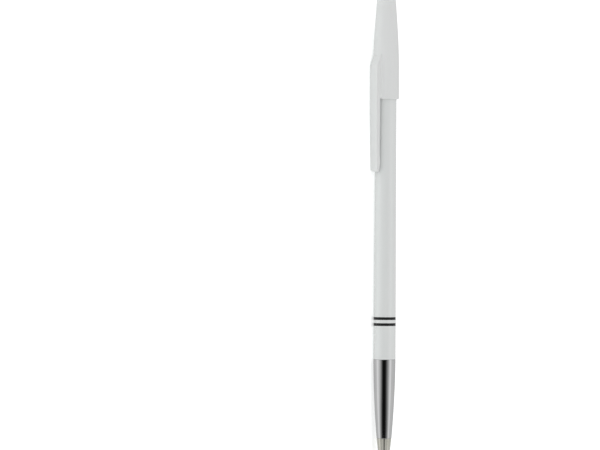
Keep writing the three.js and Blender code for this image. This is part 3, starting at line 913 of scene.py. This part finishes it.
def make_world():
    """Even pale light with two softboxes, a dark card round the camera, and plain white for the camera."""
    world = bpy.data.worlds.new("studio")
    bpy.context.scene.world = world
    world.use_nodes = True
    nodes = Nodes(world.node_tree)
    direction = nodes.add("ShaderNodeTexCoord").outputs["Generated"]
    toward_camera = (-VIEW_DIRECTION + VIEW_DIRECTION.dot(TIPWARD) * TIPWARD).normalized()
    side = (IMAGE_RIGHT - IMAGE_RIGHT.dot(TIPWARD) * TIPWARD).normalized()

    def along(axis):
        inputs = {0: direction, 1: tuple(axis)}
        return nodes.add("ShaderNodeVectorMath", inputs, operation="DOT_PRODUCT").outputs["Value"]

    def math_node(operation, *values):
        return nodes.add("ShaderNodeMath", dict(enumerate(values)), operation=operation).outputs[0]

    def soft_step(value, edge, rising=True):
        inputs = {"Value": value, "From Min": edge[0], "From Max": edge[1]}
        inputs["To Min"], inputs["To Max"] = (0.0, 1.0) if rising else (1.0, 0.0)
        node = nodes.add("ShaderNodeMapRange", inputs, interpolation_type="SMOOTHSTEP")
        return node.outputs["Result"]

    def times(*values):
        product = values[0]
        for value in values[1:]:
            product = math_node("MULTIPLY", product, value)
        return product

    turn = math_node("DEGREES", math_node("ARCTAN2", along(side), along(toward_camera)))
    tilt = math_node("DEGREES", math_node("ARCSINE", along(TIPWARD)))
    widening = math_node("MULTIPLY_ADD", soft_step(tilt, CARD_WIDENS), CARD_WIDENING, 1.0)
    card_turn = math_node("DIVIDE", turn, widening)
    card = times(
        soft_step(card_turn, CARD_LEFT),
        soft_step(card_turn, CARD_RIGHT, rising=False),
        soft_step(tilt, CARD_CAPWARD),
        soft_step(tilt, CARD_TIPWARD, rising=False),
        CARD_DEPTH,
    )
    tongue = times(
        soft_step(turn, TONGUE_LEFT),
        soft_step(turn, TONGUE_RIGHT, rising=False),
        soft_step(tilt, CARD_TIPWARD),
        soft_step(tilt, TONGUE_TIPWARD, rising=False),
        TONGUE_DEPTH,
    )
    away = math_node("ABSOLUTE", math_node("ADD", turn, SOFTBOX_SHIFT))
    boxes = times(soft_step(away, SOFTBOX_NEAR), soft_step(away, SOFTBOX_FAR, rising=False), SOFTBOX_LIFT)
    level = math_node("ADD", boxes, WORLD_LEVEL)
    at_tip = nodes.add(
        "ShaderNodeMix",
        {"Factor": soft_step(tilt, TIP_TILT), "A": level, "B": WORLD_TIP_LEVEL},
        data_type="FLOAT",
    )
    kept = math_node("SUBTRACT", 1.0, math_node("ADD", card, tongue))
    light = nodes.add(
        "ShaderNodeBackground",
        {"Color": (1, 1, 1, 1), "Strength": times(at_tip.outputs["Result"], kept)},
    )
    plain = nodes.add("ShaderNodeBackground", {"Color": (1, 1, 1, 1), "Strength": 1.0})
    shaders = {0: straight_rays(nodes), 1: light.outputs[0], 2: plain.outputs[0]}
    mix = nodes.add("ShaderNodeMixShader", shaders)
    nodes.add("ShaderNodeOutputWorld", {"Surface": mix.outputs[0]})


def straight_rays(nodes):
    """One for rays that come from the camera, also through a clear piece."""
    ray = nodes.add("ShaderNodeLightPath")
    inputs = {0: ray.outputs["Is Camera Ray"], 1: ray.outputs["Is Transmission Ray"]}
    return nodes.add("ShaderNodeMath", inputs, operation="MAXIMUM").outputs[0]


FLOOR_RADIUS = 2.5
FLOOR_SEGMENTS = 96
FLOOR_DROP = 0.00001
FLOOR_TONE = 0.93
# The floor's glow is painted light: the floor is no lamp, but gives off a faint light of its own, tinted
# slightly cyan, that lights the pen's lower side
FLOOR_GLOW = 0.24
FLOOR_GLOW_TINT = (0.95, 1.0, 0.985)
FLOOR_CAMERA_LIFT = 0.25


def make_floor():
    """A wide pale floor whose faint glow is painted light on the pen's lower side; it shows white to the
    camera and keeps the pen's shadow.
    """
    bm = bmesh.new()
    bmesh.ops.create_circle(bm, cap_ends=True, segments=FLOOR_SEGMENTS, radius=FLOOR_RADIUS)
    mesh = bpy.data.meshes.new("floor")
    bm.to_mesh(mesh)
    bm.free()
    floor = link(mesh, "floor")
    floor.location.z = cad_box[0].z - FLOOR_DROP
    made = bpy.data.materials.new("pale_floor")
    made.use_nodes = True
    nodes = Nodes(made.node_tree)
    diffuse = nodes.add("ShaderNodeBsdfDiffuse", {"Color": (FLOOR_TONE, FLOOR_TONE, FLOOR_TONE, 1)})
    glow = nodes.add("ShaderNodeEmission", {"Color": (*FLOOR_GLOW_TINT, 1), "Strength": FLOOR_GLOW})
    factors = {0: straight_rays(nodes), 1: FLOOR_CAMERA_LIFT}
    lift = nodes.add("ShaderNodeMath", factors, operation="MULTIPLY")
    shown = nodes.add("ShaderNodeEmission", {"Color": (1, 1, 1, 1), "Strength": lift.outputs[0]})
    lit = nodes.add("ShaderNodeAddShader", {0: diffuse.outputs[0], 1: glow.outputs[0]})
    total = nodes.add("ShaderNodeAddShader", {0: lit.outputs[0], 1: shown.outputs[0]})
    nodes.add("ShaderNodeOutputMaterial", {"Surface": total.outputs[0]})
    mesh.materials.append(made)
    floor.visible_glossy = False


# A wide, weak lamp in front, which lights the pen's lower side
LAMP_PLACE = (-0.03, -0.54, 0.28)
LAMP_SIZE = 0.35
LAMP_POWER = 0.5


def make_lamp(name, place, size, watts):
    data = bpy.data.lights.new(name, "AREA")
    data.shape = "DISK"
    data.size = size
    data.energy = watts
    lamp = bpy.data.objects.new(name, data)
    bpy.context.scene.collection.objects.link(lamp)
    lamp.location = place
    lamp.rotation_mode = "QUATERNION"
    lamp.rotation_quaternion = (-Vector(place)).to_track_quat("-Z", "Y")
    lamp.visible_glossy = False


def put(piece, node, body, slot, *materials):
    """Dresses a piece, puts it in its body and hides the node whose place it takes."""
    for made in materials:
        piece.data.materials.append(made)
    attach(piece, body)
    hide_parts(node)


bpy.context.scene.view_settings.view_transform = "Standard"
make_camera()
make_world()
make_floor()
make_lamp("front_light", LAMP_PLACE, LAMP_SIZE, LAMP_POWER)

barrel_tones = ((0.797, 0.815, 0.808), (0.817, 0.835, 0.828))
cap_tones = ((0.808, 0.818, 0.813), (0.828, 0.838, 0.833))
plug_tones = ((0.76, 0.77, 0.76), (0.80, 0.81, 0.80))
holder_tones = ((0.58, 0.57, 0.50), (0.64, 0.63, 0.57))
socket_tones = ((0.62, 0.60, 0.52), (0.72, 0.70, 0.62))
barrel_plastic = moulded_plastic("barrel_plastic", barrel_tones, (0.14, 0.2), 0.000003, 1.59, 0.6)
cap_plastic = moulded_plastic("cap_plastic", cap_tones, (0.34, 0.42), 0.000006, 1.49)
plug_plastic = moulded_plastic("plug_plastic", plug_tones, (0.5, 0.62), 0.00001, 1.49)
holder_metal = turned_metal("holder_metal", holder_tones, (0.05, 0.09))
socket_metal = turned_metal("socket_metal", socket_tones, (0.2, 0.3))

put(make_barrel(), "barrel", "pen", "barrel_plastic", barrel_plastic, printed_black())
put(make_nose_cone(), "nose_cone", "pen", "nose_chrome", polished_chrome())
put(make_point_holder(), "point_holder", "pen", "holder_metal", holder_metal)
put(make_ball_socket(), "ball_socket", "pen", "socket_metal", socket_metal)
put(make_ball(), "ball", "ball", "ball_carbide", ground_carbide())
put(make_refill_tube(), "refill_tube", "pen", "tube_plastic", clear_tube())
put(make_ink_column(), "ink_column", "pen", "ink", thick_ink())
put(make_end_plug(), "end_plug", "pen", "plug_plastic", plug_plastic)
put(make_cap(), "cap", "cap", "cap_plastic", cap_plastic)
